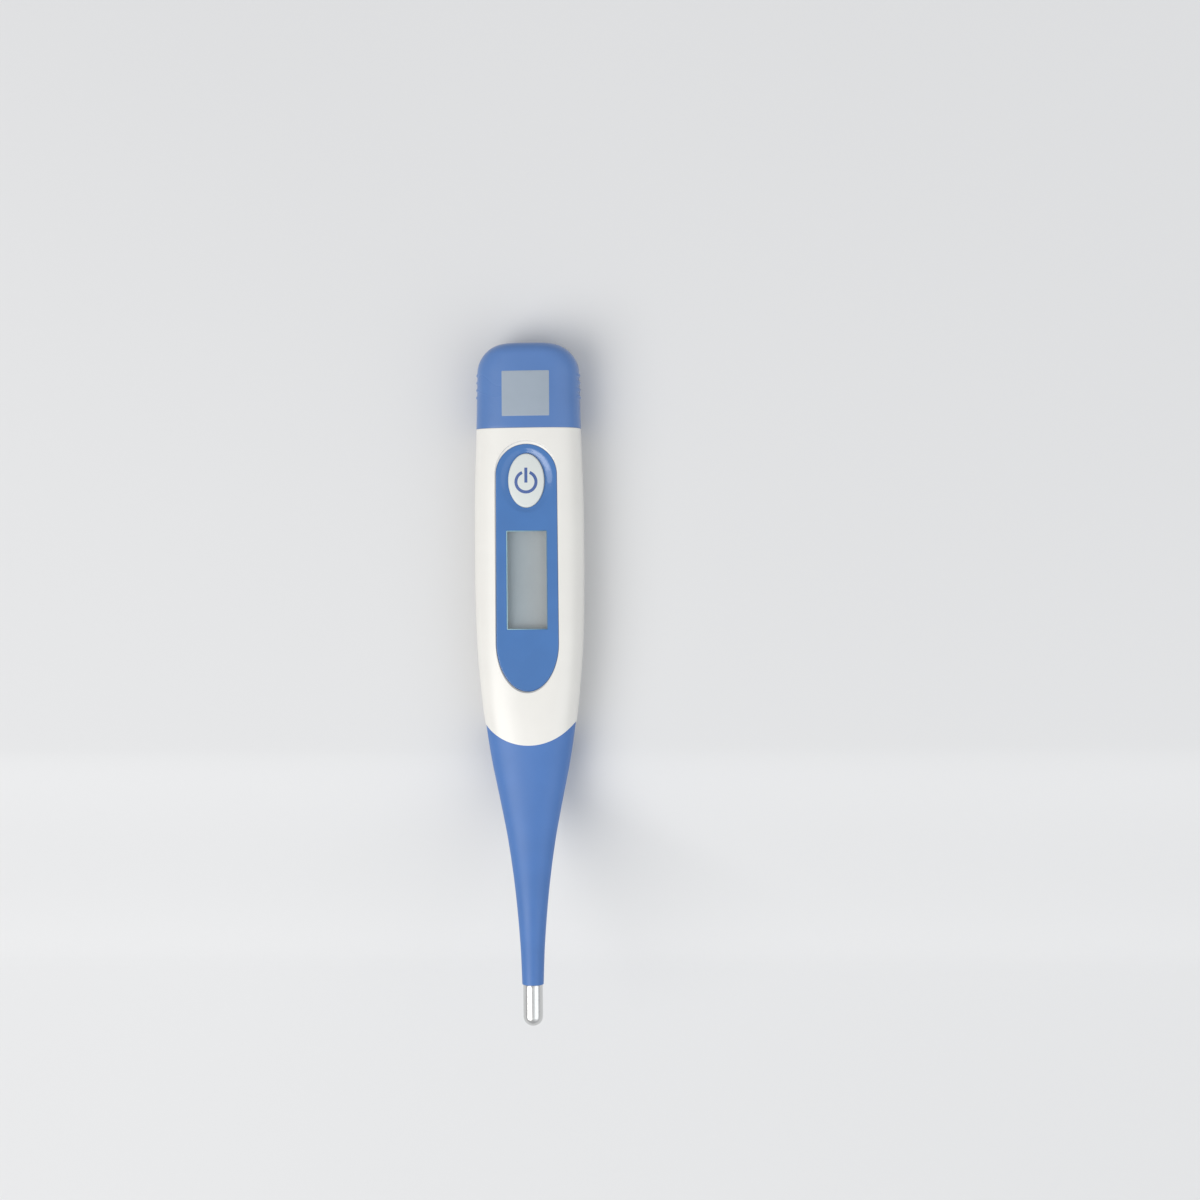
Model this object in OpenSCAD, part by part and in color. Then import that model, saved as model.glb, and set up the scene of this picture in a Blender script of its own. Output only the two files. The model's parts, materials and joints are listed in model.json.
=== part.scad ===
// Digital clinical thermometer with a flexible probe neck.
// +Z is up out of the display and +Y runs towards the battery end. The origin lies on the
// resting face, under the middle of the overall length. All sizes are in millimetres.

/* [Housing] */
// Overall length, from the battery cover's end to the probe tip
overall_l = 140; // [140:1:144]
// Widest width of the housing, beside the display
body_w = 22.4; // [22.2:0.1:23.4]
// Thickness of the housing, from the resting face to the crown over the display
body_t = 12; // [12:0.1:12.4]
// Thickness of the flat that is taken off the crowned back to make it rest
flat_cut = 0.2; // [0.15:0.05:0.3]
// Squareness of the housing's cross-section: 2 is an ellipse, higher is boxier
body_power = 2.9; // [2.7:0.1:3.1]
// Radius of the front edge of the white housing, seen from above
nose_arc_r = 11.8; // [11.6:0.1:12.6]

/* [Display panel] */
// Half width of the panel at its round top end
panel_top_r = 6.25; // [6.1:0.05:6.4]
// Half width of the panel where its long lower end begins
panel_low_hw = 6.4; // [6.2:0.05:6.5]
// Length of the panel's half-elliptical lower end
panel_low_l = 9.9; // [9:0.1:10.5]
// Height of the panel's face above the resting face
panel_z = 11.3; // [11.2:0.05:11.4]
// Width of the display window
window_w = 8.4; // [8:0.1:8.6]
// Length of the display window
window_l = 20.2; // [19:0.1:20.4]

/* [Power button] */
// Half width of the oval key
key_hw = 3.7; // [3.4:0.1:3.8]
// Half length of the oval key
key_hl = 5.5; // [5.2:0.1:5.6]
// How far the key travels
key_travel = 0.35; // [0.2:0.05:0.35]

/* [Battery end] */
// Length of the pull-off battery cover
cover_l = 17.5; // [17.5:0.1:18]
// Radius of the button cell
cell_r = 5.8; // [5.7:0.05:5.8]
// Thickness of the button cell
cell_t = 5.4; // [5.2:0.1:5.4]

/* [Flexible neck] */
// Distance between two bending places
bend_pitch = 3.5; // [3.4:0.1:3.6]
// Bend of each place about X, either way, in degrees
pitch_limit = 12; // [6:1:12]
// Bend of each place about Z, either way, in degrees
swing_limit = 8; // [4:1:8]

/* [Probe tip] */
// Radius of the metal sensor cap
cap_r = 2; // [1.8:0.05:2]
// Length of the sensor cap that stands out of the neck
cap_l = 8.5; // [8:0.1:9]

/* [Hidden] */
$fn = 48;

// Bending places of the neck, taken in turn about X and about Z
bends = 10;

// Places along the length
tail_y = overall_l / 2;
tip_y = -overall_l / 2;
cover_y = tail_y - cover_l;
nose_y = cover_y - 64.7;
neck_end_y = tip_y + cap_l;
panel_top_y = cover_y - 3.3;
panel_low_y = cover_y - 53.7;
window_y = cover_y - 31;
key_y = cover_y - 10.75;
first_bend_y = nose_y - 11.8;
last_bend_y = first_bend_y - (bends - 1) * bend_pitch;

// Heights
half_t = (body_t + flat_cut) / 2;
axis_z = half_t - flat_cut;
gap = 0.05;
far = 60;

// Outline stations from the neck's end to the tail:
// [y, half width, half thickness, squareness]
stations = [
  [neck_end_y, 2.35, 2.3, 2],
  [cover_y - 105.5, 2.7, 2.55, 2],
  [cover_y - 94.5, 3.65, 3.0, 2],
  [cover_y - 84.5, 5.0, 3.55, 2.1],
  [cover_y - 76.5, 6.5, 4.2, 2.2],
  [cover_y - 68.5, 8.1, 4.95, 2.35],
  [cover_y - 62.5, 9.05, half_t - 0.65, 2.5],
  [cover_y - 55.5, 9.95, half_t - 0.25, 2.75],
  [cover_y - 44.5, body_w / 2 - 0.35, half_t, body_power],
  [cover_y - 30.5, body_w / 2, half_t, body_power],
  [cover_y - 14.5, body_w / 2 - 0.05, half_t, body_power],
  [cover_y, body_w / 2 - 0.5, half_t - 0.1, body_power],
  [tail_y, body_w / 2 - 0.9, half_t - 0.4, body_power]
];
corner_r = 6;
edge_r = 2.4;
neck_step = 0.15;

// The station that starts the stretch holding y
function stretch(y, k = 0) =
  k >= len(stations) - 2 || y < stations[k + 1][0] ? k : stretch(y, k + 1);

// Slope of column c at station k
function slope(k, c) =
  let (a = max(0, k - 1), b = min(len(stations) - 1, k + 1))
  (stations[b][c] - stations[a][c]) / (stations[b][0] - stations[a][0]);

// Column c at y, on a smooth curve through the stations
function along(y, c) =
  let (
    k = stretch(y),
    run = stations[k + 1][0] - stations[k][0],
    t = (y - stations[k][0]) / run
  )
  (2 * t ^ 3 - 3 * t ^ 2 + 1) * stations[k][c] + (t ^ 3 - 2 * t ^ 2 + t) * run * slope(k, c)
  + (3 * t ^ 2 - 2 * t ^ 3) * stations[k + 1][c] + (t ^ 3 - t ^ 2) * run * slope(k + 1, c);

// How far a corner of radius r at the tail pulls the outline in at y
function rounding(y, r) = y > tail_y - r ? r - sqrt(max(0, r ^ 2 - (y - tail_y + r) ^ 2)) : 0;

function half_width(y) = min(body_w / 2, along(y, 1)) - rounding(y, corner_r);
function half_thickness(y) = min(half_t, along(y, 2)) - rounding(y, edge_r);
function signed_power(v, p) = sign(v) * abs(v) ^ p;

// Points of the cross-section at y, for section angles from first to last
function ring(y, inset, first, last, steps) =
  let (p = 2 / along(y, 3), hw = half_width(y) - inset, ht = half_thickness(y) - inset)
  [for (i = [0:steps]) let (a = first + (last - first) * i / steps)
    [hw * signed_power(cos(a), p), y, axis_z + ht * signed_power(sin(a), p)]];

// A solid through the cross-sections at each y of places
module loft(places, inset = 0, first = 0, last = 351, steps = 39) {
  n = steps + 1;
  rings = [for (y = places) each ring(y, inset, first, last, steps)];
  top = len(places) - 1;
  sides = [
    for (k = [0:top - 1], i = [0:n - 1])
      let (a = k * n + i, b = k * n + (i + 1) % n)
      each [[a, b, b + n], [a, b + n, a + n]]
  ];
  ends = [[for (i = [n - 1:-1:0]) i], [for (i = [0:n - 1]) top * n + i]];
  polyhedron(points = rings, faces = concat(sides, ends), convexity = 6);
}

// Evenly spaced places from a to b
function spaced(a, b, count) = [for (i = [0:count]) a + (b - a) * i / count];

// Places that follow the tail's corner
function tail_places(a) =
  concat(spaced(a, tail_y - corner_r, 3), [for (t = [15:15:90]) tail_y - corner_r * (1 - sin(t))]);

// A flat outline drawn in X and Z, run along Y from y0 to y1 at the height of the axis
module run_y(y0, y1) {
  translate([0, y1, axis_z])
    rotate([90, 0, 0])
      linear_extrude(height = y1 - y0)
        children();
}

module rounded_rect(hw, hh, r) {
  square([2 * hw, 2 * (hh - r)], center = true);
  square([2 * (hw - r), 2 * hh], center = true);
  for (sx = [-1, 1], sy = [-1, 1])
    translate([sx * (hw - r), sy * (hh - r)])
      circle(r);
}

// A box given by its lowest and highest corners
module block(low, high) {
  translate(low)
    cube(high - low);
}

// Blocks on both sides of the middle plane, from x0 to x1
module twin_blocks(x0, x1, y, z) {
  block([x0, y[0], z[0]], [x1, y[1], z[1]]);
  block([-x1, y[0], z[0]], [-x0, y[1], z[1]]);
}

// A drilled or turned round of radius r along Y
module round_y(r, y0, y1, x = 0, z = axis_z) {
  translate([x, y1, z])
    rotate([90, 0, 0])
      cylinder(r = r, h = y1 - y0);
}

module oval(hw, hl, z0, z1) {
  translate([0, key_y, z0])
    linear_extrude(height = z1 - z0)
      polygon([for (a = [0:7.5:352.5]) [hw * cos(a), hl * sin(a)]]);
}

// Plan of the display panel, grown outwards by more
module panel_plan(more) {
  top_c = panel_top_y - panel_top_r;
  low_c = panel_low_y + panel_low_l;
  polygon(concat(
    [for (a = [0:7.5:180]) [(panel_top_r + more) * cos(a), top_c + (panel_top_r + more) * sin(a)]],
    [for (a = [180:7.5:360]) [(panel_low_hw + more) * cos(a), low_c + (panel_low_l + more) * sin(a)]]
  ));
}

module panel_plate(more, z0, z1) {
  translate([0, 0, z0])
    linear_extrude(height = z1 - z0)
      panel_plan(more);
}

module window_plate(more, z0, z1) {
  block([-window_w / 2 - more, window_y - window_l / 2 - more, z0],
        [window_w / 2 + more, window_y + window_l / 2 + more, z1]);
}

// ---- Housing ----

// Everything behind the front edge of the white housing, grown by more
module housing_zone(more = 0) {
  translate([0, nose_y + nose_arc_r, -1])
    cylinder(r = nose_arc_r + more, h = body_t + 2, $fn = 96);
  block([-far, nose_y + nose_arc_r, -1], [far, cover_y, body_t + 1]);
}

// The plug of the neck inside the housing
plug_hw = 6.6;
plug_hh = 3.2;
plug_back_y = nose_y + 14.2;
// The hollow that holds the electronics
bay_hw = 8.8;
bay_inner_hw = 7.2;
bay_low_z = 1.3;
bay_high_z = 10.5;
bay_front_y = plug_back_y;
// The spigot under the battery cover
spigot_hw = 8.8;
spigot_hh = 4.5;
spigot_back_y = cover_y - 2.7;
spigot_end_y = cover_y + 4.5;

module bay() {
  block([-bay_hw, bay_front_y, axis_z - 2.6], [bay_hw, spigot_back_y, axis_z + 2.6]);
  block([-bay_inner_hw, bay_front_y, bay_low_z], [bay_inner_hw, spigot_back_y, bay_high_z]);
  run_y(nose_y - 2, bay_front_y + 1)
    rounded_rect(plug_hw + gap, plug_hh + gap, 2);
  run_y(spigot_back_y - 1, cover_y + 1)
    rounded_rect(spigot_hw + gap, spigot_hh + gap, 3.2);
}

module half_housing(first, last) {
  intersection() {
    loft(concat(spaced(nose_y - 1, cover_y - 50, 4), spaced(cover_y - 44.5, cover_y, 7)),
         0, first, last, 20);
    housing_zone();
  }
}

stake_places = [for (x = [-5.6, 5.6], y = [bay_front_y + 3, key_y - 5.5]) [x, y]];
board_z = 3.7;
board_t = 0.8;
board_top_z = board_z + board_t;

module front_shell() {
  color("#e8e7e3")
    difference() {
      half_housing(0, 180);
      bay();
      panel_plate(gap, bay_high_z - 1, body_t + 1);
      panel_plate(panel_flange + gap, panel_low_z - gap, bay_high_z);
    }
}

module back_shell() {
  color("#e4e3df")
    difference() {
      intersection() {
        half_housing(180, 360);
        block([-far, -far, 0], [far, far, body_t]);
      }
      bay();
    }
  color("#e4e3df")
    for (p = stake_places)
      translate([p[0], p[1], bay_low_z]) {
        cylinder(r = 1.3, h = board_z - bay_low_z, $fn = 32);
        cylinder(r = 0.5, h = board_top_z + 0.3 - bay_low_z, $fn = 24);
      }
}

// ---- Display ----

panel_low_z = 9.9;
panel_flange = 0.5;
window_top_z = panel_z - 0.15;
window_flange = 1.2;

module display_panel() {
  color("#3f74bd")
    difference() {
      union() {
        panel_plate(0, panel_low_z, panel_z);
        panel_plate(panel_flange, panel_low_z, bay_high_z);
      }
      window_plate(0, panel_low_z - 1, panel_z + 1);
      oval(key_hw + 0.15, key_hl + 0.15, panel_low_z - 1, panel_z + 1);
    }
}

module display_window() {
  color("#dfe8ee", 0.35) {
    window_plate(-0.03, panel_low_z - 0.1, window_top_z);
    window_plate(window_flange, panel_low_z - 0.5, panel_low_z - 0.1);
  }
}

module window_adhesive() {
  color("#f4f4f0")
    difference() {
      window_plate(window_flange, panel_low_z - 0.1, panel_low_z);
      window_plate(0.02, panel_low_z - 1, panel_low_z + 1);
    }
}

// A layer of the display, given by its half width and how far it runs past the window
module display_layer(hw, past, z0, z1) {
  block([-hw, window_y - window_l / 2 - past, z0], [hw, window_y + window_l / 2 + past, z1]);
}

lcd_hw = 5.7;
lcd_past = 1.5;
lcd_rear_hw = 4.1;
lcd_rear_z = 7.7;
lcd_mid_z = 8.4;
lcd_front_z = 9.1;

module lcd_polarizer() {
  color("#a3abae")
    display_layer(lcd_hw - 0.4, 0.7, lcd_front_z, lcd_front_z + 0.15);
}

module lcd_front_glass() {
  color("#b9c6c4")
    display_layer(lcd_hw, lcd_past, lcd_mid_z, lcd_front_z);
}

module lcd_rear_glass() {
  color("#aebcba")
    display_layer(lcd_rear_hw, lcd_past, lcd_rear_z, lcd_mid_z);
}

module lcd_reflector() {
  color("#c8cccb")
    display_layer(lcd_rear_hw, lcd_past - 0.3, lcd_rear_z - 0.15, lcd_rear_z);
}

zebra_x = [4.35, 5.45];
zebra_y = [window_y - 10.3, window_y + 10.3];

module zebra_strips() {
  color("#d58a8e")
    twin_blocks(zebra_x[0], zebra_x[1], zebra_y, [board_top_z, lcd_mid_z]);
}

module display_carrier() {
  color("#eceae2")
    difference() {
      display_layer(6.8, 2.6, board_top_z, 9.3);
      display_layer(lcd_hw + gap, lcd_past + gap, lcd_mid_z, 10);
      display_layer(lcd_rear_hw + gap, lcd_past + gap, lcd_rear_z - 0.15, 10);
      twin_blocks(zebra_x[0] - gap, zebra_x[1] + gap, [zebra_y[0] - gap, zebra_y[1] + gap], [board_z, 10]);
      display_layer(3.3, -0.6, board_z, 10);
    }
}

// ---- Electronics ----

board_hw = 7;
board_tail_hw = 5.6;
board_neck_y = key_y + 2.5;
board_end_y = cover_y - 2;

module circuit_board() {
  color("#2f6b46")
    difference() {
      union() {
        block([-board_hw, bay_front_y + 0.8, board_z], [board_hw, board_neck_y, board_top_z]);
        block([-board_tail_hw, board_neck_y - 1, board_z], [board_tail_hw, board_end_y, board_top_z]);
      }
      for (p = stake_places)
        translate([p[0], p[1], 0])
          cylinder(r = 0.6, h = far, $fn = 24);
    }
}

module controller_chip() {
  color("#1c1c1e")
    intersection() {
      translate([0, window_y - 3, board_top_z + 1.3 - 4.6])
        sphere(r = 4.6);
      block([-far, -far, board_top_z], [far, far, body_t]);
    }
}

// Small parts on the top of the board: [x, y, length along x, length along y, height]
chip_places = [
  [-1.6, 5, 1.6, 0.8, 0.7], [1.6, 5, 1.6, 0.8, 0.7], [-1.7, 10.6, 0.8, 1.6, 0.6],
  [0, 10.8, 0.8, 1.6, 0.6], [1.7, 10.6, 0.8, 1.6, 0.6]
];

module chip_components() {
  color("#b08a5a")
    for (c = chip_places)
      translate([c[0] - c[2] / 2, window_y + c[1] - 4 - c[3] / 2, board_top_z])
        cube([c[2], c[3], c[4]]);
}

lead_x = 0.6;
lead_r = 0.25;
lead_end_y = bay_front_y + 4;
foot_y = [board_end_y - 3.5, board_end_y - 1];
strip_hw = 1.5;
solder_r = 0.55;

module solder_drop(x, y) {
  translate([x, y, board_top_z])
    intersection() {
      sphere(r = solder_r);
      block([-1, -1, 0], [1, 1, 1]);
    }
}

module solder_joints() {
  color("#c9ccce")
    for (side = [-1, 1]) {
      solder_drop(side * (strip_hw + solder_r), foot_y[0] + 1.2);
      difference() {
        solder_drop(side * lead_x, lead_end_y - lead_r);
        translate([side * lead_x, lead_end_y - lead_r, board_z])
          cylinder(r = lead_r + 0.01, h = 5, $fn = 24);
      }
    }
}

dome_rise = 0.45;

module snap_dome() {
  color("#cfd3d6")
    translate([0, key_y, board_top_z])
      rotate_extrude()
        polygon([[0, dome_rise - 0.12], [1.6, 0.25], [3, 0], [3, 0.12], [1.6, 0.37], [0, dome_rise]]);
}

module buzzer_disc() {
  color("#c9a44c")
    translate([0, window_y + 1, bay_low_z])
      cylinder(r = 6, h = 0.2);
}

module buzzer_ceramic() {
  color("#e9e4d8")
    translate([0, window_y + 1, bay_low_z + 0.2])
      cylinder(r = 4.2, h = 0.15);
}

module buzzer_leads() {
  color("#d4d6d8") {
    translate([0, window_y + 1, bay_low_z + 0.35])
      cylinder(r = 0.25, h = board_z - bay_low_z - 0.35, $fn = 24);
    translate([5.1, window_y + 1, bay_low_z + 0.2])
      cylinder(r = 0.25, h = board_z - bay_low_z - 0.2, $fn = 24);
  }
}

// ---- Power button ----

key_low_z = 9.3;
key_top_z = panel_z + 0.5;
stem_low_z = board_top_z + dome_rise + 0.05;
icon_z = key_top_z - 0.15;
icon_y = key_y - 0.3;
icon_r = 2.36;
icon_stroke = 0.62;
icon_gap_half = 22;

// Plan of the power symbol, drawn round its own centre
module icon_plan() {
  turns = [for (a = [90 + icon_gap_half:6:450 - icon_gap_half]) a];
  inner_r = icon_r - icon_stroke;
  polygon(concat(
    [for (a = turns) icon_r * [cos(a), sin(a)]],
    [for (i = [len(turns) - 1:-1:0]) inner_r * [cos(turns[i]), sin(turns[i])]]
  ));
  translate([-icon_stroke / 2, -0.15])
    square([icon_stroke, 3.05]);
}

module power_icon_at(z0, z1) {
  translate([0, icon_y, z0])
    linear_extrude(height = z1 - z0)
      icon_plan();
}

module power_button() {
  color("#e3e8e6")
    difference() {
      union() {
        oval(key_hw, key_hl, panel_low_z - 0.3, key_top_z);
        oval(key_hw + 0.8, key_hl + 0.8, key_low_z, panel_low_z - 0.15);
        translate([0, key_y, stem_low_z])
          cylinder(r = 1.5, h = key_low_z - stem_low_z);
      }
      power_icon_at(icon_z, key_top_z + 1);
    }
}

module power_icon() {
  color("#5866b0")
    power_icon_at(icon_z, key_top_z);
}

module button_gasket() {
  color("#d9dcdc")
    difference() {
      oval(key_hw + 2, key_hl + 1.9, panel_low_z - 0.3, panel_low_z);
      oval(key_hw + 0.95, key_hl + 0.95, panel_low_z - 1, panel_low_z + 1);
    }
}

// ---- Battery end ----

cell_y = cover_y + 6;
cell_z = 3.2;
groove = [cover_y + 1.7, cover_y + 2.9];
groove_depth = 0.5;
cover_end_wall = 2.2;

module spigot_collar() {
  color("#e8e7e3")
    difference() {
      run_y(spigot_back_y, spigot_end_y)
        rounded_rect(spigot_hw, spigot_hh, 3.2);
      run_y(spigot_back_y - 1, spigot_end_y + 1)
        rounded_rect(7.1, 3.5, 1.5);
      difference() {
        run_y(groove[0], groove[1])
          rounded_rect(spigot_hw + 1, spigot_hh + 1, 3.2);
        run_y(groove[0] - 1, groove[1] + 1)
          rounded_rect(spigot_hw - groove_depth, spigot_hh - groove_depth, 2.7);
      }
    }
}

module cover_seal() {
  color("#2a2c30")
    difference() {
      run_y(groove[0] + 0.02, groove[1] - 0.02)
        rounded_rect(spigot_hw + 0.05, spigot_hh + 0.05, 3.25);
      run_y(groove[0] - 1, groove[1] + 1)
        rounded_rect(spigot_hw - groove_depth, spigot_hh - groove_depth, 2.7);
    }
}

sled_hw = 6.7;
sled_hh = 3.3;
sled_front_y = board_neck_y + 1.8;
sled_end_y = cell_y + cell_r + 1.2;
sled_floor_z = 3.1;

module battery_sled() {
  color("#e2e0d8")
    difference() {
      run_y(sled_front_y, sled_end_y)
        rounded_rect(sled_hw, sled_hh, 1.2);
      block([-far, -far, 8.4], [far, far, body_t]);
      block([-cell_r - 0.1, sled_front_y + 1, sled_floor_z], [cell_r + 0.1, sled_end_y + 1, body_t]);
      block([-board_tail_hw - gap, sled_front_y - 1, board_z - gap],
            [board_tail_hw + gap, sled_front_y + 2, body_t]);
      block([-strip_hw - gap, sled_front_y + 1, sled_floor_z - 0.25],
            [strip_hw + gap, sled_end_y - 1.5, 4]);
    }
}

strip_t = 0.2;
strip_z = sled_floor_z - 0.25;
strip_y = sled_front_y + 1.2;

module contact_positive() {
  color("#cfcabb") {
    block([-strip_hw, strip_y, strip_z], [strip_hw, sled_end_y - 1.7, strip_z + strip_t]);
    block([-strip_hw, strip_y, strip_z], [strip_hw, strip_y + strip_t, board_z]);
    translate([0, cell_y, strip_z + strip_t / 2])
      cylinder(r1 = 1.2, r2 = 0.6, h = cell_z - strip_z - strip_t / 2 - gap);
  }
}

leaf_z = cell_z + cell_t + 0.1;

module contact_negative() {
  color("#cfcabb") {
    block([-strip_hw, foot_y[0], board_top_z], [strip_hw, foot_y[1], board_top_z + strip_t]);
    block([-strip_hw, foot_y[1] - strip_t, board_top_z], [strip_hw, foot_y[1], leaf_z + strip_t]);
    block([-strip_hw, foot_y[1] - strip_t, leaf_z], [strip_hw, cell_y + 1.5, leaf_z + strip_t]);
  }
}

// A turned part of the button cell: [radius, height] pairs from its axis and back
module cell_turning(points) {
  translate([0, cell_y, cell_z])
    rotate_extrude()
      polygon(points);
}

rim_t = 0.3;
cell_rim_z = cell_t - 0.7;
cell_cap_r = 4.7;

module battery_can() {
  color("#c4c6c8")
    cell_turning([
      [0, 0], [cell_r - 0.3, 0], [cell_r, 0.3], [cell_r, cell_rim_z - 0.3], [cell_r - 0.3, cell_rim_z],
      [cell_cap_r + 0.35, cell_rim_z], [cell_cap_r + 0.35, cell_rim_z - rim_t],
      [cell_r - rim_t, cell_rim_z - rim_t - 0.2], [cell_r - rim_t, rim_t], [0, rim_t]
    ]);
}

module battery_gasket() {
  color("#55606e")
    cell_turning([
      [cell_cap_r, rim_t], [cell_r - rim_t, rim_t], [cell_r - rim_t, cell_rim_z - rim_t - 0.2],
      [cell_cap_r + 0.35, cell_rim_z - rim_t], [cell_cap_r + 0.35, cell_rim_z], [cell_cap_r, cell_rim_z]
    ]);
}

module battery_cap() {
  color("#b9bcbf")
    cell_turning([
      [0, rim_t], [cell_cap_r, rim_t], [cell_cap_r, cell_t - 0.3], [cell_cap_r - 0.3, cell_t], [0, cell_t]
    ]);
}

module cover_outside() {
  intersection() {
    loft(tail_places(cover_y + 0.1));
    block([-far, -far, 0], [far, tail_y + 1, body_t + 1]);
  }
}

module cover_label_at(depth) {
  intersection() {
    difference() {
      loft(tail_places(cover_y + 0.1));
      translate([0, 0, -depth])
        loft(tail_places(cover_y + 0.05));
    }
    block([-4.85, cover_y + 2.4, axis_z], [4.85, cover_y + 11.6, body_t + 1]);
  }
}

grip_places = [for (i = [0:3]) cover_y + 6.5 + 1.5 * i];

module battery_cover() {
  color("#3f74bd")
    difference() {
      union() {
        cover_outside();
        for (y = grip_places, side = [-1, 1])
          translate([side * (half_width(y) - 0.25), y, axis_z - 2.2])
            cylinder(r = 0.45, h = 4.4, $fn = 24);
      }
      run_y(cover_y - 1, spigot_end_y + 0.3)
        rounded_rect(spigot_hw + 0.1, spigot_hh + 0.1, 3.3);
      run_y(cover_y, tail_y - cover_end_wall)
        rounded_rect(7.5, 3.7, 2.2);
      cover_label_at(0.15);
    }
}

module cover_label() {
  color("#c9d6e4")
    cover_label_at(0.15);
}

// ---- Flexible neck ----

core_r = 1.1;

function bend_y(k) = first_bend_y - (k - 1) * bend_pitch;

// Half of the gap that lets bending place k reach its limit: odd ones bend about X, even about Z
function half_gap(k) =
  (k % 2 == 1 ? half_thickness(bend_y(k)) * tan(pitch_limit / 2)
              : half_width(bend_y(k)) * tan(swing_limit / 2)) + 0.06;

// The neck's solid from y0 up to y1, with the bore for the leads
module neck_stretch(y0, y1, count) {
  difference() {
    loft(spaced(y0, y1, count), neck_step);
    round_y(core_r, y0 - 1, y1 + 1);
  }
}

module neck_collar() {
  color("#4a7cc4") {
    difference() {
      loft(spaced(bend_y(1) + half_gap(1), nose_y + 5, 6), neck_step);
      housing_zone(gap);
      round_y(core_r, nose_y - 30, nose_y + 30);
    }
    difference() {
      run_y(nose_y - 1, plug_back_y - gap)
        rounded_rect(plug_hw, plug_hh, 2);
      round_y(core_r, nose_y - 30, nose_y + 30);
    }
  }
}

// The piece of the neck between bending places k and k + 1
module neck_segment(k) {
  color("#4a7cc4")
    neck_stretch(bend_y(k + 1) + half_gap(k + 1), bend_y(k) - half_gap(k), 2);
}

cap_seat_r = cap_r - 0.4;
cap_seat_l = 3;

module neck_tip() {
  color("#4a7cc4")
    difference() {
      neck_stretch(neck_end_y, bend_y(bends) - half_gap(bends), 3);
      round_y(cap_seat_r + 0.02, neck_end_y - 1, neck_end_y + cap_seat_l + 0.05);
    }
}

// ---- Probe tip ----

cap_wall = 0.25;

module sensor_cap() {
  color("#c3c6c9")
    translate([0, tip_y + cap_r, axis_z])
      rotate([-90, 0, 0])
        difference() {
          union() {
            sphere(r = cap_r);
            cylinder(r = cap_r, h = cap_l - cap_r);
            cylinder(r = cap_seat_r, h = cap_l - cap_r + cap_seat_l);
          }
          sphere(r = cap_r - cap_wall);
          cylinder(r = cap_r - cap_wall, h = cap_l - cap_r - cap_wall);
          cylinder(r = cap_seat_r - cap_wall, h = far);
        }
}

bead_r = 0.6;
bead_y = tip_y + cap_r;
lead_start_y = bead_y + bead_r + gap;

module lead_run(r, y0, y1) {
  for (side = [-1, 1])
    round_y(r, y0, y1, side * lead_x);
}

module sensor_potting() {
  color("#3a3c40")
    difference() {
      translate([0, tip_y + cap_r, axis_z])
        rotate([-90, 0, 0]) {
          sphere(r = cap_r - cap_wall - 0.02);
          cylinder(r = cap_r - cap_wall - 0.02, h = cap_l - cap_r - cap_wall - 0.02);
          cylinder(r = cap_seat_r - cap_wall - 0.02, h = cap_l - cap_r + cap_seat_l - 0.5);
        }
      translate([0, bead_y, axis_z])
        sphere(r = bead_r + 0.01);
      lead_run(lead_r + 0.01, lead_start_y, neck_end_y + 10);
    }
}

module thermistor() {
  color("#26272a")
    translate([0, bead_y, axis_z])
      sphere(r = bead_r);
}

module sensor_leads() {
  color("#b8462f") {
    lead_run(lead_r, lead_start_y, lead_end_y);
    for (side = [-1, 1])
      translate([side * lead_x, lead_end_y - lead_r, board_top_z])
        cylinder(r = lead_r, h = axis_z - board_top_z);
  }
}

front_shell();
back_shell();
display_panel();
display_window();
window_adhesive();
lcd_polarizer();
lcd_front_glass();
lcd_rear_glass();
lcd_reflector();
zebra_strips();
display_carrier();
circuit_board();
controller_chip();
chip_components();
solder_joints();
snap_dome();
button_gasket();
power_button();
power_icon();
buzzer_disc();
buzzer_ceramic();
buzzer_leads();
spigot_collar();
cover_seal();
battery_sled();
contact_positive();
contact_negative();
battery_can();
battery_gasket();
battery_cap();
battery_cover();
cover_label();
neck_collar();
neck_segment(1);  // neck_segment_1
neck_segment(2);  // neck_segment_2
neck_segment(3);  // neck_segment_3
neck_segment(4);  // neck_segment_4
neck_segment(5);  // neck_segment_5
neck_segment(6);  // neck_segment_6
neck_segment(7);  // neck_segment_7
neck_segment(8);  // neck_segment_8
neck_segment(9);  // neck_segment_9
neck_tip();
sensor_cap();
sensor_potting();
thermistor();
sensor_leads();
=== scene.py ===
"""Looks for a flexible-neck clinical thermometer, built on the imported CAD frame.

Shapes are worked out in millimetres, in the row frame: +Z out of the display, +Y towards the
battery cover. They follow the same outline stations as the CAD source, with finer steps.
"""
import json
import math

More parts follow.
